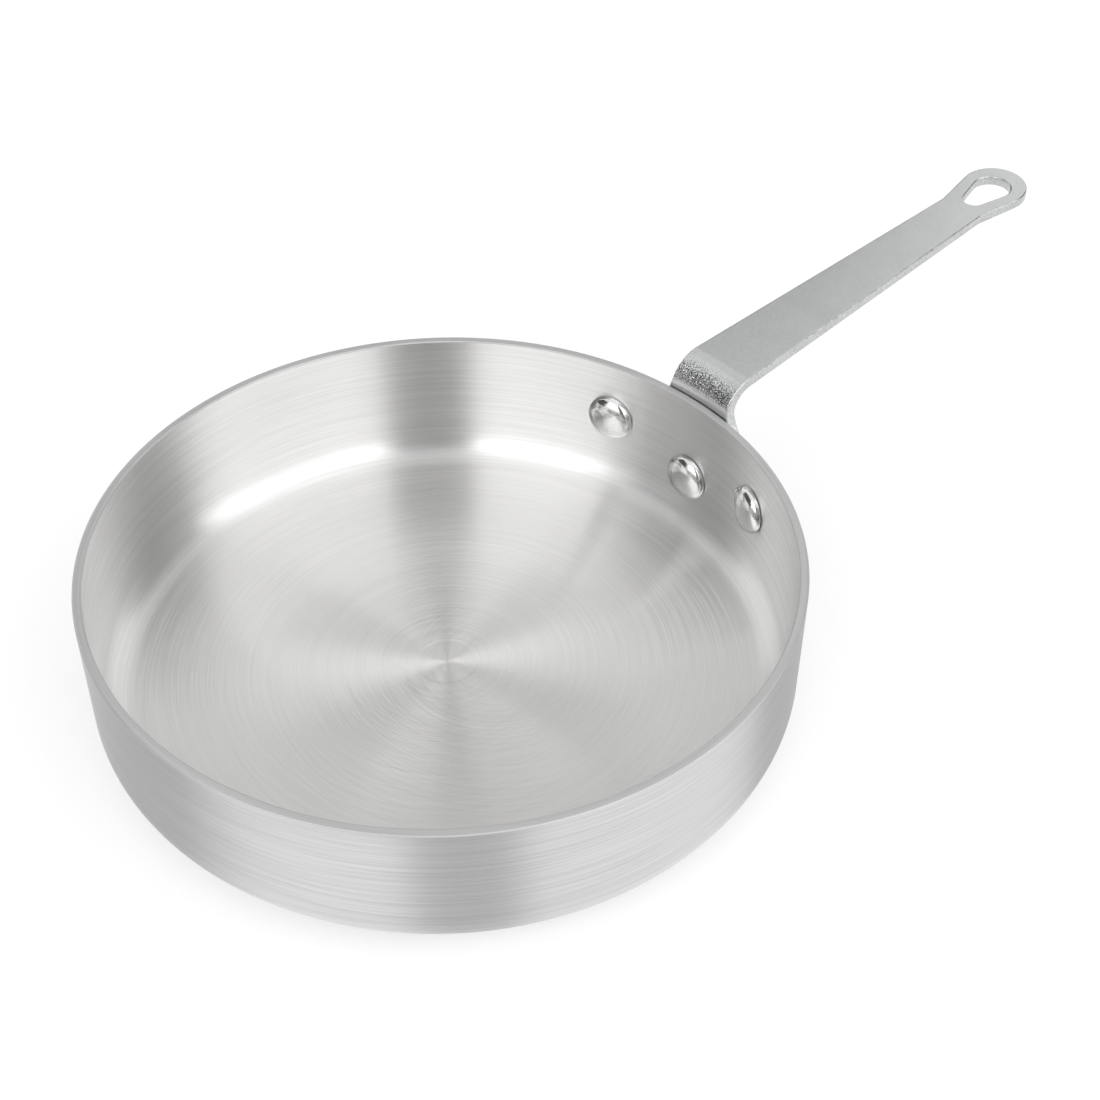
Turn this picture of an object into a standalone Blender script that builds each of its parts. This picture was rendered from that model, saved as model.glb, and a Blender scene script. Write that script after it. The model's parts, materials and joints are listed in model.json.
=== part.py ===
# Saute pan: a turned aluminium body, and a flat steel handle held to its wall by three rivets.
# The origin is the centre of the flat base, +X runs along the handle and +Z is up.
import math

import bmesh
import bpy
from mathutils import Matrix, Vector

mm = 0.001
piece_gap = 0.3 * mm            # air between two pieces that touch

# Pan body
rim_radius = 120 * mm           # outside of the straight wall
pan_height = 56 * mm
wall_thickness = 3 * mm
floor_thickness = 4 * mm
outer_corner_radius = 16 * mm   # wall to base, outside
inner_corner_radius = 10 * mm   # wall to cooking floor
rim_edge_radius = 0.5 * mm
rim_arc_step = math.radians(45)
pan_steps = 96

# Rivets
shank_radius = 3 * mm
head_radius = 9 * mm            # domed head inside the pan
head_height = 4.6 * mm
head_lip = 0.4 * mm             # least height of the head's straight side
tail_radius = 6.5 * mm          # formed head outside the flange
tail_height = 2.6 * mm
upper_rivet_angle = math.radians(17.8)
upper_rivet_rise = 10.2 * mm    # upper rivets over the lower one
rivet_steps = 32
dome_steps = 6

# Handle
handle_reach = 298.2 * mm       # from the pan's axis to the tip of the eye
handle_thickness = 4 * mm
handle_edge_radius = 0.6 * mm
handle_rise = 11.4 * mm         # the top face, carried back to the wall, over the rim
handle_slope = math.radians(4.25)
bend_radius = 12 * mm           # top face of the bend
bar_half_width_at_bend = 13.8 * mm
bar_half_width_at_neck = 9.1 * mm
flange_margin = 4 * mm          # round each rivet's head
flange_flare_radius = 16 * mm
eye_radius = 12.7 * mm
neck_to_eye = 20.4 * mm
neck_radius = 8 * mm
hole_wide_radius = 7.3 * mm     # the teardrop's round end, nearer the tip
hole_narrow_radius = 4.5 * mm
hole_wide_setback = 1.6 * mm    # from the eye's centre towards the pan
hole_length_between = 10.8 * mm # from one end's centre to the other's
arc_step = math.radians(12)     # greatest turn between two points of an outline
bend_step = math.radians(8)     # greatest turn between two cuts through the bend
flange_step = 5 * mm            # between two cuts along the flange
crease_angle = math.radians(40) # edges that turn more than this look sharp
same_point = 0.001 * mm         # points closer than this are one

# Sizes that follow
inner_radius = rim_radius - wall_thickness
head_seat_radius = inner_radius - piece_gap
flange_inner_radius = rim_radius + piece_gap
flange_outer_radius = flange_inner_radius + handle_thickness
flange_lobe_radius = head_radius + flange_margin
tail_seat_radius = flange_outer_radius + piece_gap
lower_rivet_height = floor_thickness + inner_corner_radius + head_radius
upper_rivet_height = lower_rivet_height + upper_rivet_rise
rivet_seats = {
    "rivet_upper_left": (upper_rivet_angle, upper_rivet_height),
    "rivet_upper_right": (-upper_rivet_angle, upper_rivet_height),
    "rivet_lower": (0.0, lower_rivet_height),
}
bend_turn = math.pi / 2 - handle_slope
bend_length = bend_radius * bend_turn
bend_start_height = pan_height + handle_rise - bend_radius * math.tan(bend_turn / 2)


def clear_objects():
    for old in list(bpy.data.objects):
        bpy.data.objects.remove(old, do_unlink=True)


def make_collection(name, hidden=False):
    collection = bpy.data.collections.new(name)
    bpy.context.scene.collection.children.link(collection)
    collection.hide_render = hidden
    return collection


def metal(name, colour, roughness):
    material = bpy.data.materials.new(name)
    material.use_nodes = True
    shader = material.node_tree.nodes["Principled BSDF"]
    shader.inputs["Base Color"].default_value = (*colour, 1.0)
    shader.inputs["Roughness"].default_value = roughness
    shader.inputs["Metallic"].default_value = 1.0
    return material


def arc(centre, radius, start, end, step=arc_step):
    # Points on a circle from one angle to another, both ends included
    count = max(2, math.ceil(abs(end - start) / step))
    angles = [start + (end - start) * index / count for index in range(count + 1)]
    return [centre + radius * Vector((math.cos(angle), math.sin(angle))) for angle in angles]


def angle_of(direction):
    return math.atan2(direction.y, direction.x)


def left_of(direction):
    return Vector((-direction.y, direction.x))


def left_tangent(centre_a, radius_a, centre_b, radius_b):
    # Unit vector from either centre to where the line along both circles' left side touches it
    along = centre_b - centre_a
    lean = (radius_a - radius_b) / along.length
    along.normalize()
    return left_of(along) * math.sqrt(1 - lean * lean) + along * lean


def closed_by_mirror(half):
    # The half outline runs from one end of the centre line to the other
    return half + [Vector((point.x, -point.y)) for point in reversed(half[1:-1])]


def turned(name, profile, steps, collection):
    # A profile of (radius, height) points, turned about Z
    mesh = bpy.data.meshes.new(name)
    points = [(radius, 0.0, height) for radius, height in profile]
    edges = [(index, index + 1) for index in range(len(points) - 1)]
    mesh.from_pydata(points, edges, [])
    piece = bpy.data.objects.new(name, mesh)
    collection.objects.link(piece)
    screw = piece.modifiers.new("turn", "SCREW")
    screw.axis = "Z"
    screw.steps = steps
    screw.render_steps = steps
    screw.use_merge_vertices = True
    screw.merge_threshold = same_point
    screw.use_smooth_shade = True
    return piece


def cut_with(piece, cutter):
    cut = piece.modifiers.new(cutter.name, "BOOLEAN")
    cut.operation = "DIFFERENCE"
    cut.solver = "EXACT"
    cut.object = cutter


def point_outward(piece, angle, height):
    # The piece's own +Z axis becomes the radius at this angle and height
    piece.matrix_world = (
        Matrix.Translation((0.0, 0.0, height))
        @ Matrix.Rotation(angle, 4, "Z")
        @ Matrix.Rotation(math.pi / 2, 4, "Y")
    )


def radial_cylinder(name, radius, angle, height, collection):
    # Runs from inside the domed heads' seat to outside the formed heads' seat
    overshoot = wall_thickness
    near = head_seat_radius - overshoot
    far = tail_seat_radius + overshoot
    profile = [(0.0, far), (radius, far), (radius, near), (0.0, near)]
    cylinder = turned(name, profile, rivet_steps, collection)
    point_outward(cylinder, angle, height)
    return cylinder


def pan_profile():
    base_edge = Vector((rim_radius - outer_corner_radius, outer_corner_radius))
    floor_edge = Vector((inner_radius - inner_corner_radius, floor_thickness + inner_corner_radius))
    edge_height = pan_height - rim_edge_radius
    outer_edge = Vector((rim_radius - rim_edge_radius, edge_height))
    inner_edge = Vector((inner_radius + rim_edge_radius, edge_height))
    outline = arc(outer_edge, rim_edge_radius, math.pi / 2, 0.0, rim_arc_step)
    outline += arc(base_edge, outer_corner_radius, 0.0, -math.pi / 2)
    outline.append(Vector((0.0, 0.0)))
    outline.append(Vector((0.0, floor_thickness)))
    outline += arc(floor_edge, inner_corner_radius, -math.pi / 2, 0.0)
    outline += arc(inner_edge, rim_edge_radius, math.pi, math.pi / 2, rim_arc_step)
    outline.append(outline[0])
    return outline


def rivet_profile():
    # Seen along the shank, which runs outward: formed head, waist inside the wall, domed head
    head_side = head_seat_radius - math.sqrt(head_seat_radius**2 - head_radius**2) + head_lip
    head_base = head_seat_radius - head_side
    dome_height = head_height - head_side
    waist = (inner_radius + rim_radius) / 2
    quarter = [math.pi / 2 * index / dome_steps for index in range(dome_steps + 1)]
    outline = []
    for angle in reversed(quarter):
        outline.append((tail_radius * math.cos(angle), tail_seat_radius + tail_height * math.sin(angle)))
    outline.append((tail_radius, waist))
    outline.append((head_radius, waist))
    for angle in quarter:
        outline.append((head_radius * math.cos(angle), head_base - dome_height * math.sin(angle)))
    return outline


def along_bar(distance):
    # Where a point of the sloping top face, this far from the pan's axis, lies along the flat blank
    bend_end = flange_inner_radius + bend_radius * (1 - math.cos(bend_turn))
    return bend_length + (distance - bend_end) / math.cos(handle_slope)


def on_flange(angle, height):
    # A rivet's seat on the flat blank: along the handle, and round the wall
    return Vector((height - bend_start_height, flange_inner_radius * angle))


def handle_outline():
    # Half of the flat blank, from the foot of the flange to the tip, on its left side
    lower = on_flange(0.0, lower_rivet_height)
    upper = on_flange(upper_rivet_angle, upper_rivet_height)
    eye = Vector((along_bar(handle_reach) - eye_radius, 0.0))
    neck = Vector((eye.x - neck_to_eye, bar_half_width_at_neck))
    edge_start = Vector((0.0, bar_half_width_at_bend))
    edge = (neck - edge_start).normalized()
    outward = left_of(edge)

    lobe = left_tangent(lower, flange_lobe_radius, upper, flange_lobe_radius)
    # The flare touches the bar's edge and the upper lobe from outside
    offset = (upper - edge_start).dot(outward) - flange_flare_radius
    reach = flange_lobe_radius + flange_flare_radius
    flare_foot = edge_start + edge * ((upper - edge_start).dot(edge) + math.sqrt(reach**2 - offset**2))
    flare = flare_foot + outward * flange_flare_radius
    to_upper = upper - flare

    shoulder = left_tangent(neck, 0.0, eye, eye_radius)
    side = (eye + eye_radius * shoulder - neck).normalized()
    neck_length = neck_radius * math.tan(edge.angle(side) / 2)
    neck_centre = neck - edge * neck_length + outward * neck_radius

    half = arc(lower, flange_lobe_radius, math.pi, angle_of(lobe))
    half += arc(upper, flange_lobe_radius, angle_of(lobe), angle_of(-to_upper))
    half += arc(flare, flange_flare_radius, angle_of(to_upper), angle_of(-outward) + 2 * math.pi)
    half += arc(neck_centre, neck_radius, angle_of(-outward), angle_of(-left_of(side)))
    half += arc(eye, eye_radius, angle_of(shoulder), 0.0)
    return closed_by_mirror(half)


def hole_outline():
    # A teardrop: a wide circle and a narrow one, joined along both sides
    wide = Vector((along_bar(handle_reach) - eye_radius - hole_wide_setback, 0.0))
    narrow = wide - Vector((hole_length_between, 0.0))
    touch = left_tangent(narrow, hole_narrow_radius, wide, hole_wide_radius)
    half = arc(narrow, hole_narrow_radius, math.pi, angle_of(touch))
    half += arc(wide, hole_wide_radius, angle_of(touch), 0.0)
    return closed_by_mirror(half)


def flat_blank():
    # The plate before it is bent, its edges rounded, with the hanging hole through it
    curve = bpy.data.curves.new("blank", "CURVE")
    curve.dimensions = "2D"
    curve.fill_mode = "BOTH"
    curve.extrude = handle_thickness / 2 - handle_edge_radius
    curve.bevel_depth = handle_edge_radius
    curve.bevel_resolution = 1
    curve.offset = -handle_edge_radius
    for outline in (handle_outline(), hole_outline()):
        spline = curve.splines.new("POLY")
        spline.points.add(len(outline) - 1)
        spline.use_cyclic_u = True
        for point, place in zip(spline.points, outline):
            point.co = (place.x, place.y, 0.0, 1.0)
    guide = bpy.data.objects.new("blank", curve)
    bpy.context.scene.collection.objects.link(guide)
    evaluated = guide.evaluated_get(bpy.context.evaluated_depsgraph_get())
    mesh = bpy.data.meshes.new_from_object(evaluated)
    bpy.data.objects.remove(guide, do_unlink=True)
    return mesh


def hug(along):
    # How much of the wall's roundness the plate keeps: all on the flange, none past the bend
    share = min(max(along / bend_length, 0.0), 1.0)
    return 1 - share * share * (3 - 2 * share)


def bent(point):
    # Moves a point of the flat blank to its place on the finished handle
    along, across = point.x, point.y
    depth = point.z + handle_thickness / 2
    turn = min(max(along / bend_radius, 0.0), bend_turn)
    side = flange_inner_radius + bend_radius * (1 - math.cos(turn))
    height = bend_start_height + bend_radius * math.sin(turn)
    if along < 0:
        height += along
    if along > bend_length:
        side += (along - bend_length) * math.sin(turn)
        height += (along - bend_length) * math.cos(turn)
    roundness = hug(along)
    if roundness > 0:
        radius = flange_inner_radius / roundness
        angle = across / radius
        across = (radius + depth) * math.sin(angle)
        depth = (radius + depth) * math.cos(angle) - radius
    return Vector((side + depth * math.cos(turn), across, height - depth * math.sin(turn)))


def slice_across(shape, axis, place):
    # Adds a row of edges, so that the plate can bend there
    normal = Vector((0.0, 0.0, 0.0))
    normal[axis] = 1.0
    everything = shape.verts[:] + shape.edges[:] + shape.faces[:]
    bmesh.ops.bisect_plane(shape, geom=everything, dist=same_point, plane_co=normal * place, plane_no=normal)


def make_handle(collection):
    shape = bmesh.new()
    shape.from_mesh(flat_blank())
    bmesh.ops.remove_doubles(shape, verts=shape.verts, dist=same_point)
    bend_cuts = math.ceil(bend_turn / bend_step)
    for cut in range(bend_cuts + 1):
        slice_across(shape, 0, bend_length * cut / bend_cuts)
    flange_half = flange_inner_radius * upper_rivet_angle + flange_lobe_radius
    flange_cuts = math.ceil(flange_half / flange_step)
    for cut in range(1 - flange_cuts, flange_cuts):
        slice_across(shape, 1, flange_half * cut / flange_cuts)
    for vertex in shape.verts:
        vertex.co = bent(vertex.co)
    bmesh.ops.recalc_face_normals(shape, faces=shape.faces)
    mesh = bpy.data.meshes.new("handle")
    shape.to_mesh(mesh)
    shape.free()
    mesh.shade_smooth()
    mesh.set_sharp_from_angle(angle=crease_angle)
    handle = bpy.data.objects.new("handle", mesh)
    collection.objects.link(handle)
    return handle


def make_pan_body(collection):
    return turned("pan_body", pan_profile(), pan_steps, collection)


def make_grip(shanks, collection):
    # The room that wall and flange take up between a rivet's two heads, rounder than the pan
    below = lower_rivet_height - 2 * head_radius
    above = upper_rivet_height + 2 * head_radius
    profile = [
        (tail_seat_radius, above),
        (tail_seat_radius, below),
        (head_seat_radius, below),
        (head_seat_radius, above),
        (tail_seat_radius, above),
    ]
    grip = turned("grip", profile, 2 * pan_steps, collection)
    for shank in shanks:
        cut_with(grip, shank)
    return grip


def make_rivets(collection, cutters):
    shanks = []
    for name, (angle, height) in rivet_seats.items():
        shanks.append(radial_cylinder(name + "_shank", shank_radius, angle, height, cutters))
    grip = make_grip(shanks, cutters)
    rivets = []
    for name, (angle, height) in rivet_seats.items():
        rivet = turned(name, rivet_profile(), rivet_steps, collection)
        point_outward(rivet, angle, height)
        cut_with(rivet, grip)
        rivets.append(rivet)
    return rivets


def main():
    clear_objects()
    pan = make_collection("saute_pan")
    cutters = make_collection("cutters", hidden=True)
    body = make_pan_body(pan)
    handle = make_handle(pan)
    rivets = make_rivets(pan, cutters)
    for name, (angle, height) in rivet_seats.items():
        bore = radial_cylinder(name + "_bore", shank_radius + piece_gap, angle, height, cutters)
        cut_with(body, bore)
        cut_with(handle, bore)
    for cutter in cutters.objects:
        cutter.hide_render = True
        cutter.display_type = "WIRE"
    body.data.materials.append(metal("spun_aluminium", (0.78, 0.78, 0.77), 0.35))
    handle.data.materials.append(metal("plated_steel", (0.62, 0.64, 0.64), 0.45))
    for rivet in rivets:
        rivet.data.materials.append(metal(rivet.name + "_aluminium", (0.86, 0.86, 0.85), 0.15))


main()
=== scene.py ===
import json
import math

import bmesh
import bpy
from mathutils import Matrix, Vector

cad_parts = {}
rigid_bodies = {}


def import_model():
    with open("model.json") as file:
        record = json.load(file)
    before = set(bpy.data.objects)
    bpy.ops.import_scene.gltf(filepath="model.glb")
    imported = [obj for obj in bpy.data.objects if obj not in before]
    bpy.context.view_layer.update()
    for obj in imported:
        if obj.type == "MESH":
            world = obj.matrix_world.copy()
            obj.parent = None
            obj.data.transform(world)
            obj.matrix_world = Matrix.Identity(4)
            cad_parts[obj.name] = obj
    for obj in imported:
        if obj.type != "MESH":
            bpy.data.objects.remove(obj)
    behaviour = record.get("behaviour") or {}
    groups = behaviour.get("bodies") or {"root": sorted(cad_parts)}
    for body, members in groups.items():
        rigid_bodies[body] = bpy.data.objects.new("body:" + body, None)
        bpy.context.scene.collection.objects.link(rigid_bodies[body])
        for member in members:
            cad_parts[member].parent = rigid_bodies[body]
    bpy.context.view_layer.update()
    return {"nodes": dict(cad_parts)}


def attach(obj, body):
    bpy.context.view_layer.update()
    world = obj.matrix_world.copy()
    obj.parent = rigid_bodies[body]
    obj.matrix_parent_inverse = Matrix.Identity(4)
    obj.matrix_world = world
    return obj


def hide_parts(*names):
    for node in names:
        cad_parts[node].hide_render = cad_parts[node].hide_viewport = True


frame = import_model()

scene = bpy.context.scene
mm = 0.001
onePoint = 0.001 * mm           # points closer than this are one
print("packed pan loaded:", ", ".join(sorted(frame["nodes"])))


def arcPoints(centre, radius, startDegrees, endDegrees, stepDegrees):
    count = max(2, math.ceil(abs(endDegrees - startDegrees) / stepDegrees))
    points = []
    for index in range(count + 1):
        angle = math.radians(startDegrees + (endDegrees - startDegrees) * index / count)
        points.append(Vector(centre) + radius * Vector((math.cos(angle), math.sin(angle))))
    return points


def newPiece(name, mesh, smooth=True):
    piece = bpy.data.objects.new(name, mesh)
    scene.collection.objects.link(piece)
    for face in mesh.polygons:
        face.use_smooth = smooth
    return piece


def meshFromRings(name, bm, rings):
    # joins each ring of points to the next, where a single point is a ring too
    steps = max(len(ring) for ring in rings)
    for lower, upper in zip(rings, rings[1:]):
        for step in range(steps):
            after = (step + 1) % steps
            corners = [lower[step % len(lower)], lower[after % len(lower)],
                       upper[after % len(upper)], upper[step % len(upper)]]
            corners = list(dict.fromkeys(corners))
            if len(corners) > 2:
                bm.faces.new(corners)
    bmesh.ops.remove_doubles(bm, verts=bm.verts, dist=onePoint)
    bmesh.ops.recalc_face_normals(bm, faces=bm.faces)
    mesh = bpy.data.meshes.new(name)
    bm.to_mesh(mesh)
    bm.free()
    return mesh


def turnedMesh(name, profile, steps):
    # the profile is a closed run of (radius, height) points, turned about Z
    bm = bmesh.new()
    rings = []
    for radius, height in profile:
        ring = []
        for step in range(steps if radius > onePoint else 1):
            angle = 2 * math.pi * step / steps
            ring.append(bm.verts.new((radius * math.cos(angle), radius * math.sin(angle), height)))
        rings.append(ring)
    return meshFromRings(name, bm, rings)


def cutWith(piece, cutters):
    # takes the cutters' room out of the piece for good, then drops the cutters
    for cutter in cutters:
        cut = piece.modifiers.new(cutter.name, "BOOLEAN")
        cut.operation = "DIFFERENCE"
        cut.solver = "EXACT"
        cut.object = cutter
    graph = bpy.context.evaluated_depsgraph_get()
    mesh = bpy.data.meshes.new_from_object(piece.evaluated_get(graph))
    piece.modifiers.clear()
    piece.data = mesh
    for cutter in cutters:
        bpy.data.objects.remove(cutter, do_unlink=True)


class Nodes:
    # shorthand for wiring a metal
    def __init__(self, name):
        self.material = bpy.data.materials.new(name)
        self.material.use_nodes = True
        self.tree = self.material.node_tree
        self.shader = self.tree.nodes["Principled BSDF"]
        self.shader.inputs["Metallic"].default_value = 1.0

    def put(self, socket, value):
        if isinstance(value, bpy.types.NodeSocket):
            self.tree.links.new(value, socket)
        elif value is not None:
            socket.default_value = value

    def shade(self, inputs):
        for socket, value in inputs.items():
            self.put(self.shader.inputs[socket], value)

    def add(self, kind, inputs=(), **settings):
        node = self.tree.nodes.new(kind)
        for key, value in settings.items():
            setattr(node, key, value)
        for place, value in dict(inputs).items():
            self.put(node.inputs[place], value)
        return node

    def place(self):
        return self.add("ShaderNodeTexCoord").outputs["Object"]

    def normal(self):
        return self.add("ShaderNodeNewGeometry").outputs["Normal"]

    def split(self, vector):
        return self.add("ShaderNodeSeparateXYZ", {"Vector": vector}).outputs

    def join(self, **axes):
        return self.add("ShaderNodeCombineXYZ", axes).outputs[0]

    def math(self, operation, first, second=None, third=None):
        return self.add("ShaderNodeMath", {0: first, 1: second, 2: third}, operation=operation).outputs[0]

    def vector(self, operation, first, second=None, scale=None):
        # socket 3 is the scale, which has no name to find it by while another operation is set
        node = self.add("ShaderNodeVectorMath", {0: first, 1: second, 3: scale}, operation=operation)
        return node.outputs["Value" if operation == "LENGTH" else "Vector"]

    def tilted(self, normal, lean):
        return self.vector("NORMALIZE", self.vector("ADD", normal, lean))

    def noise(self, vector, scale, detail, roughness=0.5):
        return self.add("ShaderNodeTexNoise", {
            "Vector": vector, "Scale": scale, "Detail": detail, "Roughness": roughness}).outputs

    def remap(self, value, fromLow, fromHigh, toLow, toHigh):
        return self.add("ShaderNodeMapRange", {
            "Value": value, "From Min": fromLow, "From Max": fromHigh,
            "To Min": toLow, "To Max": toHigh}).outputs["Result"]

    def share(self, value, empty, full):
        # 0 where the value is at empty, 1 where it is at full
        return self.remap(value, empty, full, 0, 1)

    def blend(self, share, first, second):
        # a Mix node has sockets for each kind of value: 6, 7 and 2 are the colours'
        return self.add("ShaderNodeMix", {"Factor": share, 6: first, 7: second}, data_type="RGBA").outputs[2]

    def bump(self, height, distance):
        return self.add("ShaderNodeBump", {"Height": height, "Distance": distance}).outputs["Normal"]


# the pan body: spun aluminium
pan = {
    "rimRadius": 120 * mm,
    "height": 56 * mm,
    "wall": 3 * mm,
    "floor": 4 * mm,
    "outerCorner": 16 * mm,
    "innerCorner": 10 * mm,
    "rimEdge": 0.5 * mm,
    "steps": 288,               # round the pan
    "outerCornerStep": 3,       # degrees
    "innerCornerStep": 4,
    "rimEdgeStep": 15,
    "wallSpacing": 3.5 * mm,    # between two rings of points
    "floorSpacing": 8 * mm,
    "support": 0.12 * mm,       # extra rings beside the rim's round edges
    "outsideSlant": 0.1,        # faces that turn out or down by more than this are outside
    "inside": {
        "colour": (0.88, 0.88, 0.88, 1),
        "floorColour": (0.845, 0.84, 0.827, 1),     # a little warmer than the wall, and darker: painted shade
        "wallEnd": 114 * mm,        # the wall's looks turn into the floor's between these radii
        "floorEnd": 106 * mm,
        "lineColour": (0.785, 0.782, 0.775, 1),
        "roughness": 0.345,
        "anisotropy": 1.0,          # the hairlines spread light ten times as far across as along
        "anisotropyTurn": 0.25,     # a quarter turn, so that they run round the axis
        "lineSpacing": 0.30 * mm,
        "lineLength": 60 * mm,
        "lineDetail": 0.6,          # how strong the finest strokes are
        "lines": {                  # spacing over lineSpacing, detail, where the noise starts
            "fine": (1, 2.0, 0.0),
            "broad": (3, 1.0, 31.0),
            "arcs": (1.6, 1.0, 57.0),
        },
        "fineShare": 0.6,           # the rest of the tone is the broad lines'
        "paleTone": 0.60,           # tone at which the metal has its own colour
        "darkTone": 0.38,           # and the lines' colour
        "lineTilt": 0.34,
        "arcTilt": 0.25,            # faint arcs round a second centre, left by the last cut
        "arcCentre": (14 * mm, -9 * mm, 0),
        "ringRadius": 10.5 * mm,    # a shallow ring round the middle, left by the lathe
        "ringWidth": 0.9 * mm,
        "ringTilt": 0.10,
        "ringShade": 0.35,
        "middleReach": 50 * mm,     # the metal is a little smoother towards the middle
        "middleRoughness": -0.045,
        "lineRoughness": 0.10,      # how much the roughness varies with the lines
        "cloudRoughness": 0.04,     # and in soft clouds
        "cloudScale": 14.0,
    },
    "outside": {                # what differs from the inside: its darker colours are painted shade, standing for the dark ground that the outer wall mirrors
        "colour": (0.685, 0.685, 0.69, 1),
        "floorColour": (0.685, 0.685, 0.69, 1),
        "lineColour": (0.565, 0.565, 0.57, 1),
        "roughness": 0.42,
        "lineTilt": 0.65,
        "arcTilt": 0.0,
        "ringTilt": 0.0,
        "ringShade": 0.0,
    },
    "rim": {                    # what differs from the outside: its colours stay dark, painted shade as on the outside
        "colour": (0.67, 0.67, 0.67, 1),
        "lineColour": (0.58, 0.58, 0.58, 1),
        "roughness": 0.60,
        "anisotropy": 0.2,
        "lineTilt": 0.1,
    },
}


def evenly(start, end, spacing):
    count = max(1, round((end - start).length / spacing))
    return [start.lerp(end, index / count) for index in range(1, count)]


def panProfile(size):
    radius = size["rimRadius"]
    height = size["height"]
    edge = size["rimEdge"]
    inside = radius - size["wall"]
    shoulder = height - edge
    support = size["support"]
    outer = arcPoints((radius - size["outerCorner"], size["outerCorner"]),
                      size["outerCorner"], 0, -90, size["outerCornerStep"])
    inner = arcPoints((inside - size["innerCorner"], size["floor"] + size["innerCorner"]),
                      size["innerCorner"], -90, 0, size["innerCornerStep"])
    rimOut = arcPoints((radius - edge, shoulder), edge, 90, 0, size["rimEdgeStep"])
    rimIn = arcPoints((inside + edge, shoulder), edge, 180, 90, size["rimEdgeStep"])
    run = [Vector((radius - edge - support, height))] + rimOut + [Vector((radius, shoulder - support))]
    run += evenly(run[-1], outer[0], size["wallSpacing"]) + outer
    centre = Vector((0, 0))
    run += evenly(outer[-1], centre, size["floorSpacing"]) + [centre, Vector((0, size["floor"]))]
    run += evenly(run[-1], inner[0], size["floorSpacing"]) + inner
    wallTop = Vector((inside, shoulder - support))
    run += evenly(inner[-1], wallTop, size["wallSpacing"]) + [wallTop] + rimIn
    run += [Vector((inside + edge + support, height)), run[0]]
    return run


def spunAluminium(name, look):
    n = Nodes(name)
    place = n.place()

    def fromAxis(centre):
        # the way here from an upright axis, its length, and the height
        axes = n.split(n.vector("SUBTRACT", place, centre))
        flat = n.join(X=axes["X"], Y=axes["Y"])
        return flat, n.vector("LENGTH", flat), axes["Z"]

    def lines(kind, centre=(0, 0, 0)):
        # noise drawn out into strokes round the axis
        spread, detail, start = look["lines"][kind]
        flat, radius, height = fromAxis(centre)
        along = n.math("ADD", radius, height)       # runs up the profile
        rise = n.math("MULTIPLY_ADD", along, 1 / (spread * look["lineSpacing"]), start)
        spot = n.vector("ADD", n.vector("SCALE", flat, scale=1 / look["lineLength"]), n.join(Z=rise))
        return n.noise(spot, scale=1, detail=detail, roughness=look["lineDetail"])["Fac"]

    fine = lines("fine")
    broad = lines("broad")
    arcs = lines("arcs", look["arcCentre"])
    radius = fromAxis((0, 0, 0))[1]
    onFloor = n.share(radius, look["wallEnd"], look["floorEnd"])

    # the hairlines tilt the surface up or down its profile
    tangent = n.add("ShaderNodeTangent", direction_type="RADIAL", axis="Z").outputs[0]
    normal = n.normal()
    across = n.vector("CROSS_PRODUCT", normal, tangent)
    tilt = n.math("MULTIPLY", n.math("SUBTRACT", fine, 0.5), look["lineTilt"])
    faint = n.math("MULTIPLY", n.math("SUBTRACT", arcs, 0.5), look["arcTilt"])
    tilt = n.math("MULTIPLY_ADD", faint, onFloor, tilt)
    beside = n.math("ABSOLUTE", n.math("SUBTRACT", radius, look["ringRadius"]))
    ring = n.share(beside, look["ringWidth"], 0)
    tilt = n.math("MULTIPLY_ADD", ring, look["ringTilt"], tilt)
    lean = n.vector("SCALE", across, scale=tilt)

    tone = n.math("ADD", n.math("MULTIPLY", fine, look["fineShare"]),
                  n.math("MULTIPLY", broad, 1 - look["fineShare"]))
    # the wall's colour turns into the floor's, which is warmer and, as painted shade, darker
    plain = n.blend(onFloor, look["colour"], look["floorColour"])
    lined = n.share(tone, look["paleTone"], look["darkTone"])
    shade = n.math("MAXIMUM", lined, n.math("MULTIPLY", ring, look["ringShade"]))

    cloud = n.noise(place, look["cloudScale"], detail=2)["Fac"]
    evened = look["roughness"] - (look["lineRoughness"] + look["cloudRoughness"]) / 2   # the mean stays
    rough = n.math("MULTIPLY_ADD", tone, look["lineRoughness"], evened)
    rough = n.math("ADD", rough, n.remap(radius, look["middleReach"], 0, 0, look["middleRoughness"]))
    rough = n.math("MULTIPLY_ADD", cloud, look["cloudRoughness"], rough)
    n.shade({
        "Base Color": n.blend(shade, plain, look["lineColour"]),
        "Roughness": rough,
        "Normal": n.tilted(normal, lean),
        "Tangent": tangent,
        "Anisotropic": look["anisotropy"],
        "Anisotropic Rotation": look["anisotropyTurn"],
    })
    return n.material


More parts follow.
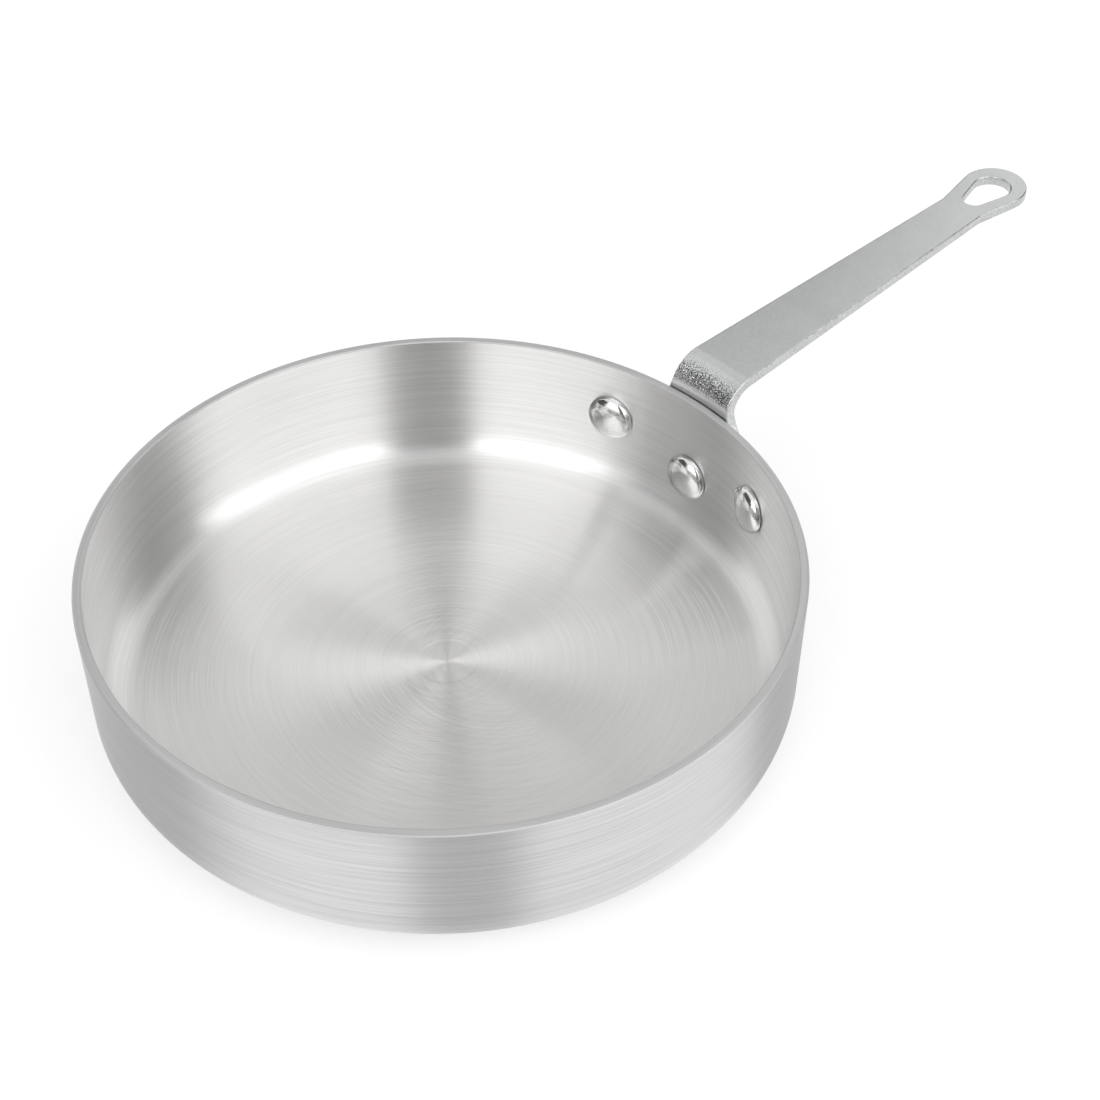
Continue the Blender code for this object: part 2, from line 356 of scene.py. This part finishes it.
# the rivets: a domed head inside the pan, a formed head outside
rivets = {
    "places": {                 # degrees round the pan, height
        "upperLeft": (17.8, 33.2 * mm),
        "upperRight": (-17.8, 33.2 * mm),
        "lower": (0.0, 23.0 * mm),
    },
    "shank": 3 * mm,
    "headRadius": 9 * mm,
    "headHeight": 4.6 * mm,
    "headLip": 0.4 * mm,        # least height of the head's straight side
    "tailRadius": 6.5 * mm,
    "tailHeight": 2.6 * mm,
    "gap": 0.3 * mm,            # air between two pieces that touch
    "headEdge": 0.22 * mm,      # the head's rounded edge
    "headEdgeMiddle": (0.06 * mm, 0.07 * mm),       # in from its side, off the wall
    "shankEdge": 0.3 * mm,      # where the shank widens into the heads
    "tailEdge": 0.1 * mm,
    "steps": 96,                # round a rivet
    "headSteps": 18,            # up a dome
    "tailSteps": 12,
    "boreSteps": 32,
    "boreNear": 108 * mm,       # the bores' ends, from the pan's axis
    "boreFar": 132 * mm,
    "holeStep": 10,             # degrees, round a hole in the strip
    "colour": (0.84, 0.84, 0.835, 1),
    "dull": (0.70, 0.70, 0.695, 1),
    "dullFleck": 0.3,           # noise at which the colour is dull
    "brightFleck": 0.7,
    "roughness": 0.15,
    "hazeRoughness": 0.12,      # how much the roughness varies
    "dentSize": 3.4 * mm,
    "dentDepth": 0.13 * mm,
    "hazeFineness": 0.5,        # times as fine as the dents
    "fleckFineness": 6,
}


def rivetBores(owner):
    # three cylinders a little wider than the shanks, lying along the rivets' axes
    size = rivets
    radius = size["shank"] + size["gap"]
    near = size["boreNear"]
    far = size["boreFar"]
    profile = [(0, far), (radius, far), (radius, near), (0, near)]
    bores = []
    for name, (degrees, height) in size["places"].items():
        bore = newPiece(owner + name + "Bore", turnedMesh("bore", profile, size["boreSteps"]))
        bore.matrix_world = (Matrix.Translation((0, 0, height))
                             @ Matrix.Rotation(math.radians(degrees), 4, "Z")
                             @ Matrix.Rotation(math.pi / 2, 4, "Y"))
        bores.append(bore)
    bpy.context.view_layer.update()
    return bores


spunPan = newPiece("spunPan", turnedMesh("spunPan", panProfile(pan), pan["steps"]))
cutWith(spunPan, rivetBores("pan"))
spunPan.data.materials.clear()
# the outside and the rim take the darker colours, which are painted shade
outsideLook = {**pan["inside"], **pan["outside"]}
panFinishes = {
    "spunInside": pan["inside"],
    "spunOutside": outsideLook,
    "coinedRim": {**outsideLook, **pan["rim"]},
}
for finish, look in panFinishes.items():
    spunPan.data.materials.append(spunAluminium(finish, look))
outsideSlot = list(panFinishes).index("spunOutside")
rimSlot = list(panFinishes).index("coinedRim")
for face in spunPan.data.polygons:
    outward = face.normal.dot(Vector((face.center.x, face.center.y, 0)).normalized())
    if face.center.z > pan["height"] - pan["rimEdge"]:
        face.material_index = rimSlot
    elif outward > pan["outsideSlant"] or face.normal.z < -pan["outsideSlant"]:
        face.material_index = outsideSlot
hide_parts("pan_body")
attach(spunPan, "root")
print("spun pan body:", len(spunPan.data.polygons), "faces")


# the handle: one strip of plated steel, cut flat and bent
handle = {
    "reach": 298.2 * mm,
    "thickness": 4 * mm,
    "edgeRadius": 0.6 * mm,
    "rise": 11.4 * mm,
    "slope": math.radians(4.25),
    "bendRadius": 12 * mm,
    "halfWidthAtBend": 13.8 * mm,
    "halfWidthAtNeck": 9.1 * mm,
    "lobeRadius": 13 * mm,      # round each rivet
    "flareRadius": 16 * mm,
    "eyeRadius": 12.7 * mm,
    "neckToEye": 20.4 * mm,
    "neckRadius": 8 * mm,
    "holeWide": 7.3 * mm,
    "holeNarrow": 4.5 * mm,
    "holeSetback": 1.6 * mm,
    "holeBetween": 10.8 * mm,
    "arcStep": 4,               # degrees
    "edgeSteps": 4,             # across a rounded edge
    "bendCut": 0.7 * mm,        # between two rows of edges through the bend
    "flangeCut": 1.6 * mm,
    "faceSlant": 0.9,           # faces of the blank that are less level belong to its edge
    "face": {
        "colour": (0.66, 0.67, 0.668, 1),
        "dull": (0.61, 0.62, 0.618, 1),
        "hollowShade": (0.12, 0.12, 0.12, 1),    # painted shade down between the grains
        "cloudScale": 90.0,
        "mottleScale": 700.0,
        "dullTone": 0.35,           # tone of clouds and mottle at which the colour is dull
        "brightTone": 0.65,
        "roughness": 0.30,
        "toneRoughness": 0.08,      # how much the roughness varies with the tone
        "grainSize": 0.37 * mm,
        "grainTilt": 0.16,
        "grainShade": 0.0,          # how much painted shade darkens the grains' hollows
        "grainTop": 0.55,           # noise at the grains' tops
        "grainHollow": 0.38,        # and in their hollows
        "bentRoughness": 0.18,      # the bend has stretched the plating into grains
        "bentTilt": 1.5,
        # across the bend more painted shade, standing for the dark that the bend mirrors
        "bentShade": 0.65,
        "bendEnds": 129 * mm,       # from the pan's axis, where the grains have faded out
        "bendFades": 5 * mm,
        "bendFoot": 59.2 * mm,      # height where they begin
        "footFades": 2 * mm,
    },
    "edge": {                   # sheared from the sheet: what differs from the face
        "colour": (0.68, 0.685, 0.69, 1),
        "dull": (0.56, 0.565, 0.57, 1),
        "grainTilt": 0.7,
        # painted shade in the edge's grain hollows too
        "grainShade": 0.35,
        "bentRoughness": 0.30,
        "bentTilt": 0.8,
        "bentShade": 0.4,
    },
}
flangeInside = pan["rimRadius"] + rivets["gap"]
bendTurn = math.pi / 2 - handle["slope"]
bendLength = handle["bendRadius"] * bendTurn
bendStart = pan["height"] + handle["rise"] - handle["bendRadius"] * math.tan(bendTurn / 2)


def alongBar(distance):
    # from a distance off the pan's axis to a place on the flat blank
    bendEnd = flangeInside + handle["bendRadius"] * (1 - math.cos(bendTurn))
    return bendLength + (distance - bendEnd) / math.cos(handle["slope"])


def onFlange(place):
    degrees, height = rivets["places"][place]
    return Vector((height - bendStart, flangeInside * math.radians(degrees)))


def leftOf(direction):
    return Vector((-direction.y, direction.x))


def degreesOf(direction):
    return math.degrees(math.atan2(direction.y, direction.x))


def leftTangent(firstCentre, firstRadius, secondCentre, secondRadius):
    # the way from each centre to the line that touches both circles on their left
    along = secondCentre - firstCentre
    lean = (firstRadius - secondRadius) / along.length
    along.normalize()
    return leftOf(along) * math.sqrt(1 - lean * lean) + along * lean


def mirroredClosed(half):
    return half + [Vector((point.x, -point.y)) for point in reversed(half[1:-1])]


def stripOutline():
    size = handle
    step = size["arcStep"]
    lobe = size["lobeRadius"]
    lower = onFlange("lower")
    upper = onFlange("upperLeft")
    eye = Vector((alongBar(size["reach"]) - size["eyeRadius"], 0))
    neck = Vector((eye.x - size["neckToEye"], size["halfWidthAtNeck"]))
    edgeStart = Vector((0, size["halfWidthAtBend"]))
    edge = (neck - edgeStart).normalized()
    outward = leftOf(edge)

    lobeSide = leftTangent(lower, lobe, upper, lobe)
    offset = (upper - edgeStart).dot(outward) - size["flareRadius"]
    reach = lobe + size["flareRadius"]
    run = (upper - edgeStart).dot(edge) + math.sqrt(reach**2 - offset**2)
    flare = edgeStart + edge * run + outward * size["flareRadius"]
    toUpper = upper - flare

    shoulder = leftTangent(neck, 0, eye, size["eyeRadius"])
    side = (eye + size["eyeRadius"] * shoulder - neck).normalized()
    back = size["neckRadius"] * math.tan(edge.angle(side) / 2)
    neckCentre = neck - edge * back + outward * size["neckRadius"]

    # the flare's arc passes 180 degrees, so its end counts one turn more
    half = arcPoints(lower, lobe, 180, degreesOf(lobeSide), step)
    half += arcPoints(upper, lobe, degreesOf(lobeSide), degreesOf(-toUpper), step)
    half += arcPoints(flare, size["flareRadius"], degreesOf(toUpper), degreesOf(-outward) + 360, step)
    half += arcPoints(neckCentre, size["neckRadius"], degreesOf(-outward), degreesOf(-leftOf(side)), step)
    half += arcPoints(eye, size["eyeRadius"], degreesOf(shoulder), 0, step)
    return mirroredClosed(half)


def hangingHole():
    size = handle
    wide = Vector((alongBar(size["reach"]) - size["eyeRadius"] - size["holeSetback"], 0))
    narrow = wide - Vector((size["holeBetween"], 0))
    touch = leftTangent(narrow, size["holeNarrow"], wide, size["holeWide"])
    half = arcPoints(narrow, size["holeNarrow"], 180, degreesOf(touch), size["arcStep"])
    half += arcPoints(wide, size["holeWide"], degreesOf(touch), 0, size["arcStep"])
    return mirroredClosed(half)


def rivetHole(place):
    return arcPoints(onFlange(place), rivets["shank"] + rivets["gap"], 0, 360, rivets["holeStep"])[:-1]


def flatStrip():
    # the flat blank with rounded edges, its hanging hole and its three rivet holes
    size = handle
    curve = bpy.data.curves.new("strip", "CURVE")
    curve.dimensions = "2D"
    curve.fill_mode = "BOTH"
    curve.extrude = size["thickness"] / 2 - size["edgeRadius"]
    curve.bevel_depth = size["edgeRadius"]
    curve.bevel_resolution = size["edgeSteps"]
    curve.offset = -size["edgeRadius"]
    for outline in [stripOutline(), hangingHole()] + [rivetHole(place) for place in rivets["places"]]:
        spline = curve.splines.new("POLY")
        spline.points.add(len(outline) - 1)
        spline.use_cyclic_u = True
        for point, place in zip(spline.points, outline):
            point.co = (place.x, place.y, 0, 1)
    guide = bpy.data.objects.new("strip", curve)
    scene.collection.objects.link(guide)
    graph = bpy.context.evaluated_depsgraph_get()
    mesh = bpy.data.meshes.new_from_object(guide.evaluated_get(graph))
    bpy.data.objects.remove(guide, do_unlink=True)
    return mesh


def bentPoint(point):
    # the flat blank's point, carried through the bend and round the wall
    along = point.x
    across = point.y
    depth = point.z + handle["thickness"] / 2
    bend = handle["bendRadius"]
    turn = min(max(along / bend, 0), bendTurn)
    side = flangeInside + bend * (1 - math.cos(turn))
    height = bendStart + bend * math.sin(turn)
    if along < 0:
        height += along
    if along > bendLength:
        side += (along - bendLength) * math.sin(turn)
        height += (along - bendLength) * math.cos(turn)
    share = min(max(along / bendLength, 0), 1)
    roundness = 1 - share * share * (3 - 2 * share)     # how much of the wall's curve is left
    if roundness > 0:
        radius = flangeInside / roundness
        angle = across / radius
        across = (radius + depth) * math.sin(angle)
        depth = (radius + depth) * math.cos(angle) - radius
    return Vector((side + depth * math.cos(turn), across, height - depth * math.sin(turn)))


def bentNormal(point, normal):
    # the flat blank's normal, carried through the bend
    step = 0.02 * mm
    sides = []
    for axis in range(3):
        nudge = Vector((0, 0, 0))
        nudge[axis] = step
        sides.append((bentPoint(point + nudge) - bentPoint(point - nudge)) / (2 * step))
    return (Matrix(sides).inverted() @ normal).normalized()


def cutAcross(bm, axis, place, limit=math.inf):
    # a row of edges across the blank, in the faces that begin before the limit
    normal = Vector((0, 0, 0))
    normal[axis] = 1
    faces = [face for face in bm.faces if min(vert.co.x for vert in face.verts) < limit - onePoint]
    edges = {edge for face in faces for edge in face.edges}
    verts = {vert for face in faces for vert in face.verts}
    bmesh.ops.bisect_plane(bm, geom=list(verts) + list(edges) + faces, dist=onePoint,
                           plane_co=normal * place, plane_no=normal)


def bentStrip():
    size = handle
    bm = bmesh.new()
    bm.from_mesh(flatStrip())
    bmesh.ops.remove_doubles(bm, verts=bm.verts, dist=onePoint)
    cuts = math.ceil(bendLength / size["bendCut"])
    for cut in range(cuts + 1):
        cutAcross(bm, 0, bendLength * cut / cuts)
    halfFlange = flangeInside * math.radians(rivets["places"]["upperLeft"][0]) + size["lobeRadius"]
    cuts = math.ceil(halfFlange / size["flangeCut"])
    for cut in range(1 - cuts, cuts):
        cutAcross(bm, 1, halfFlange * cut / cuts, bendLength)
    bm.normal_update()
    normals = []
    for vert in bm.verts:
        onFace = abs(abs(vert.co.z) - size["thickness"] / 2) < onePoint
        level = Vector((0, 0, math.copysign(1, vert.co.z)))
        normals.append(bentNormal(vert.co, level if onFace else vert.normal))
    for face in bm.faces:
        face.material_index = int(abs(face.normal.z) < size["faceSlant"])       # 0 face, 1 edge
    for vert in bm.verts:
        vert.co = bentPoint(vert.co)
    bmesh.ops.reverse_faces(bm, faces=bm.faces)         # the blank's top becomes the bar's underside
    mesh = bpy.data.meshes.new("stripHandle")
    bm.to_mesh(mesh)
    bm.free()
    for face in mesh.polygons:
        face.use_smooth = True
    mesh.normals_split_custom_set_from_vertices(normals)
    return mesh


def platedSteel(name, look):
    n = Nodes(name)
    place = n.place()
    axes = n.split(place)
    near = n.share(axes["X"], look["bendEnds"], look["bendEnds"] - look["bendFades"])
    above = n.share(axes["Z"], look["bendFoot"], look["bendFoot"] + look["footFades"])
    bent = n.math("MULTIPLY", near, above)

    # grains tilt the surface by a random amount each way
    grain = n.noise(place, 1 / look["grainSize"], detail=1)
    tilt = n.remap(bent, 0, 1, look["grainTilt"], look["bentTilt"])
    lean = n.vector("SCALE", n.vector("SUBTRACT", grain["Color"], (0.5, 0.5, 0.5)), scale=tilt)

    cloud = n.noise(place, look["cloudScale"], detail=4)["Fac"]
    mottle = n.noise(place, look["mottleScale"], detail=2)["Fac"]
    tone = n.math("ADD", n.math("MULTIPLY", cloud, 0.5), n.math("MULTIPLY", mottle, 0.5))   # half of each
    plain = n.blend(n.share(tone, look["dullTone"], look["brightTone"]), look["dull"], look["colour"])
    # painted shade: the grains' hollows darken towards the hollow colour, most across the bend
    shade = n.math("MULTIPLY", n.share(grain["Fac"], look["grainTop"], look["grainHollow"]),
                   n.remap(bent, 0, 1, look["grainShade"], look["bentShade"]))
    rough = n.remap(near, 0, 1, look["roughness"], look["bentRoughness"])
    evened = n.math("SUBTRACT", rough, look["toneRoughness"] / 2)       # the mean stays
    n.shade({
        "Base Color": n.blend(shade, plain, look["hollowShade"]),
        "Roughness": n.math("MULTIPLY_ADD", tone, look["toneRoughness"], evened),
        "Normal": n.tilted(n.normal(), lean),
    })
    return n.material


stripHandle = newPiece("stripHandle", bentStrip())
for finish, look in (("platedFace", handle["face"]),
                     ("shearedEdge", {**handle["face"], **handle["edge"]})):
    stripHandle.data.materials.append(platedSteel(finish, look))
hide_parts("handle")
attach(stripHandle, "root")
print("bent strip handle:", len(stripHandle.data.polygons), "faces")


def rivetMesh(name, degrees, height):
    # each ring lies at a distance from the pan's axis, or hugs the wall or the flange
    size = rivets
    head = size["headRadius"]
    shank = size["shank"]
    tail = size["tailRadius"]
    headSeat = pan["rimRadius"] - pan["wall"] - size["gap"]
    tailSeat = flangeInside + handle["thickness"] + size["gap"]
    sag = headSeat - math.sqrt(headSeat**2 - head**2)
    domeBase = headSeat - sag - size["headLip"]
    domeHeight = size["headHeight"] - sag - size["headLip"]
    edge = size["headEdge"]
    edgeIn, edgeUp = size["headEdgeMiddle"]
    rings = [(0.0, headSeat - size["headHeight"], None)]
    for index in range(1, size["headSteps"] + 1):
        angle = math.radians(90 - 90 * index / size["headSteps"])
        rings.append((head * math.cos(angle), domeBase - domeHeight * math.sin(angle), None))
    rings += [
        (head, None, headSeat - edge),
        (head - edgeIn, None, headSeat - edgeUp),
        (head - edge, None, headSeat),
        (shank + size["shankEdge"], None, headSeat),
        (shank, None, headSeat + size["shankEdge"]),
        (shank, None, tailSeat - size["shankEdge"]),
        (shank + size["shankEdge"], None, tailSeat),
        (tail - size["tailEdge"], None, tailSeat),
        (tail, None, tailSeat + size["tailEdge"]),
    ]
    for index in range(1, size["tailSteps"]):
        angle = math.radians(90 * index / size["tailSteps"])
        rings.append((tail * math.cos(angle), tailSeat + size["tailHeight"] * math.sin(angle), None))
    rings.append((0.0, tailSeat + size["tailHeight"], None))

    turn = Matrix.Rotation(math.radians(degrees), 3, "Z")
    bm = bmesh.new()
    made = []
    for radius, distance, hugs in rings:
        ring = []
        for step in range(size["steps"] if radius > 0 else 1):
            angle = 2 * math.pi * step / size["steps"]
            sideways = radius * math.cos(angle)
            upward = radius * math.sin(angle)
            out = distance if hugs is None else math.sqrt(hugs**2 - sideways**2)
            ring.append(bm.verts.new(turn @ Vector((out, sideways, height + upward))))
        made.append(ring)
    return meshFromRings(name, bm, made)


def polishedRivet(look):
    n = Nodes("polishedRivet")
    place = n.place()
    dents = n.noise(place, 1 / look["dentSize"], detail=1)["Fac"]
    haze = n.noise(place, look["hazeFineness"] / look["dentSize"], detail=2)["Fac"]
    fleck = n.noise(place, look["fleckFineness"] / look["dentSize"], detail=1)["Fac"]
    evened = look["roughness"] - look["hazeRoughness"] / 2      # the mean stays
    tone = n.share(fleck, look["dullFleck"], look["brightFleck"])
    n.shade({
        "Base Color": n.blend(tone, look["dull"], look["colour"]),
        "Roughness": n.math("MULTIPLY_ADD", haze, look["hazeRoughness"], evened),
        "Normal": n.bump(dents, look["dentDepth"]),
    })
    return n.material


rivetFinish = polishedRivet(rivets)
rivetNodes = {"upperLeft": "rivet_upper_left", "upperRight": "rivet_upper_right", "lower": "rivet_lower"}
for place, node in rivetNodes.items():
    name = place + "Rivet"
    rivet = newPiece(name, rivetMesh(name, *rivets["places"][place]))
    rivet.data.materials.append(rivetFinish)
    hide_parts(node)
    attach(rivet, "root")
print("rivets:", len(rivetNodes))


# floor, studio light and camera
studio = {
    "floorSize": 6.0,
    "floorDrop": 0.3 * mm,      # the floor lies this far under the pan
    "floorColour": (0.5, 0.5, 0.5, 1),
    "floorRoughness": 0.9,
    "floorLift": 0.515,         # brings the unshaded floor to white
    "roomColour": (0.90, 0.90, 0.90, 1),
    "boxDistance": 1.2,
    "cardDistance": 1.4,
    # seen from the pan, in degrees: azimuth, its width, lowest and highest elevation
    "softboxes": {
        "leftBox": (195.5, 47, 18, 58, 1.42),       # and the brightness that it adds to the room's
        "rightBox": (284, 68, 18, 58, 1.25),
    },
    "greyCards": {
        "cameraCard": (234.5, 27, -2, 45, 0.16),    # and the grey
        "cameraTopCard": (234.5, 25, 45, 60, 0.35),
        "leftCard": (139.5, 48, -2, 44, 0.08),
        "leftTopCard": (139.5, 48, 44, 60, 0.85),
        "rightCard": (338, 38, -2, 44, 0.06),
        "backCard": (55, 42, -2, 40, 0.08),
        "backTopCard": (38, 70, 58, 76, 0.45),
    },
    "cameraPlace": (-0.2797, -0.3571, 0.4652),
    "cameraLook": (0.5014, 0.5469, -0.6704),
    "cameraUp": (0.4465, 0.5001, 0.7420),
    "cameraLens": 60.689,
    "cameraSensor": 36,
    "cameraNear": 0.01,
}


def seenRays(tree):
    # 1 for what the camera sees, straight or in metal or glass
    path = tree.nodes.new("ShaderNodeLightPath").outputs
    seen = path["Is Camera Ray"]
    for ray in ("Is Glossy Ray", "Is Transmission Ray"):
        either = tree.nodes.new("ShaderNodeMath")
        either.operation = "MAXIMUM"
        tree.links.new(seen, either.inputs[0])
        tree.links.new(path[ray], either.inputs[1])
        seen = either.outputs[0]
    return seen


def flatPanel(name, width, tall, colour, roughness, glow):
    # a flat rectangle that scatters light evenly and gives off some of its own
    mesh = bpy.data.meshes.new(name)
    right = width / 2
    up = tall / 2
    mesh.from_pydata([(-right, -up, 0), (right, -up, 0), (right, up, 0), (-right, up, 0)], [], [(0, 1, 2, 3)])
    panel = newPiece(name, mesh, smooth=False)
    material = bpy.data.materials.new(name)
    material.use_nodes = True
    shader = material.node_tree.nodes["Principled BSDF"]
    shader.inputs["Base Color"].default_value = colour
    shader.inputs["Roughness"].default_value = roughness
    shader.inputs["Specular IOR Level"].default_value = 0.0
    shader.inputs["Emission Color"].default_value = glow
    shader.inputs["Emission Strength"].default_value = 1.0
    panel.data.materials.append(material)
    return panel


def paleFloor(look):
    size = look["floorSize"]
    floor = flatPanel("paleFloor", size, size, colour=look["floorColour"],
                      roughness=look["floorRoughness"], glow=(1, 1, 1, 1))
    floor.location.z = -look["floorDrop"]
    tree = floor.data.materials[0].node_tree
    lift = tree.nodes.new("ShaderNodeMath")
    lift.operation = "MULTIPLY"
    lift.inputs[1].default_value = look["floorLift"]
    tree.links.new(seenRays(tree), lift.inputs[0])
    tree.links.new(lift.outputs[0], tree.nodes["Principled BSDF"].inputs["Emission Strength"])


def paleRoom(look):
    world = bpy.data.worlds.new("paleRoom")
    world.use_nodes = True
    tree = world.node_tree
    light = tree.nodes["Background"]
    light.inputs["Color"].default_value = look["roomColour"]
    white = tree.nodes.new("ShaderNodeBackground")
    white.inputs["Color"].default_value = (1, 1, 1, 1)
    mix = tree.nodes.new("ShaderNodeMixShader")
    tree.links.new(seenRays(tree), mix.inputs[0])
    tree.links.new(light.outputs[0], mix.inputs[1])
    tree.links.new(white.outputs[0], mix.inputs[2])
    tree.links.new(mix.outputs[0], tree.nodes["World Output"].inputs["Surface"])
    scene.world = world


def upright(azimuth, spread, low, high, distance):
    # an upright rectangle that fills these angles seen from the pan: its place, turn and size
    side = math.radians(azimuth)
    bottom, top = (distance * math.tan(math.radians(angle)) for angle in (low, high))
    out = Vector((math.cos(side), math.sin(side), 0))
    place = out * distance + Vector((0, 0, (bottom + top) / 2))
    width = 2 * distance * math.tan(math.radians(spread / 2))
    return Matrix.Translation(place) @ out.to_track_quat("Z", "Y").to_matrix().to_4x4(), width, top - bottom


def softbox(name, turn, width, tall, brightness):
    lamp = bpy.data.lights.new(name, "AREA")
    lamp.shape = "RECTANGLE"
    lamp.size = width
    lamp.size_y = tall
    lamp.energy = math.pi * width * tall * brightness
    box = bpy.data.objects.new(name, lamp)
    scene.collection.objects.link(box)
    box.matrix_world = turn


def greyCard(name, turn, width, tall, grey):
    # keeps the white room out of the metal here, and shows nowhere else
    card = flatPanel(name, width, tall, colour=(0, 0, 0, 1), roughness=1, glow=(grey, grey, grey, 1))
    card.matrix_world = turn
    card.visible_camera = False
    card.visible_diffuse = False
    card.visible_shadow = False


def photoCamera(view):
    camera = bpy.data.objects.new("camera", bpy.data.cameras.new("camera"))
    scene.collection.objects.link(camera)
    back = -Vector(view["cameraLook"]).normalized()
    right = Vector(view["cameraUp"]).cross(back).normalized()
    up = back.cross(right)
    turn = Matrix((right, up, back)).transposed().to_4x4()
    camera.matrix_world = Matrix.Translation(view["cameraPlace"]) @ turn
    camera.data.lens = view["cameraLens"]
    camera.data.sensor_width = view["cameraSensor"]
    camera.data.clip_start = view["cameraNear"]
    scene.camera = camera


paleFloor(studio)
paleRoom(studio)
for name, (*angles, brightness) in studio["softboxes"].items():
    softbox(name, *upright(*angles, studio["boxDistance"]), brightness)
for name, (*angles, grey) in studio["greyCards"].items():
    greyCard(name, *upright(*angles, studio["cardDistance"]), grey)
photoCamera(studio)
scene.view_settings.view_transform = "Standard"
print("floor, lamps and camera placed")
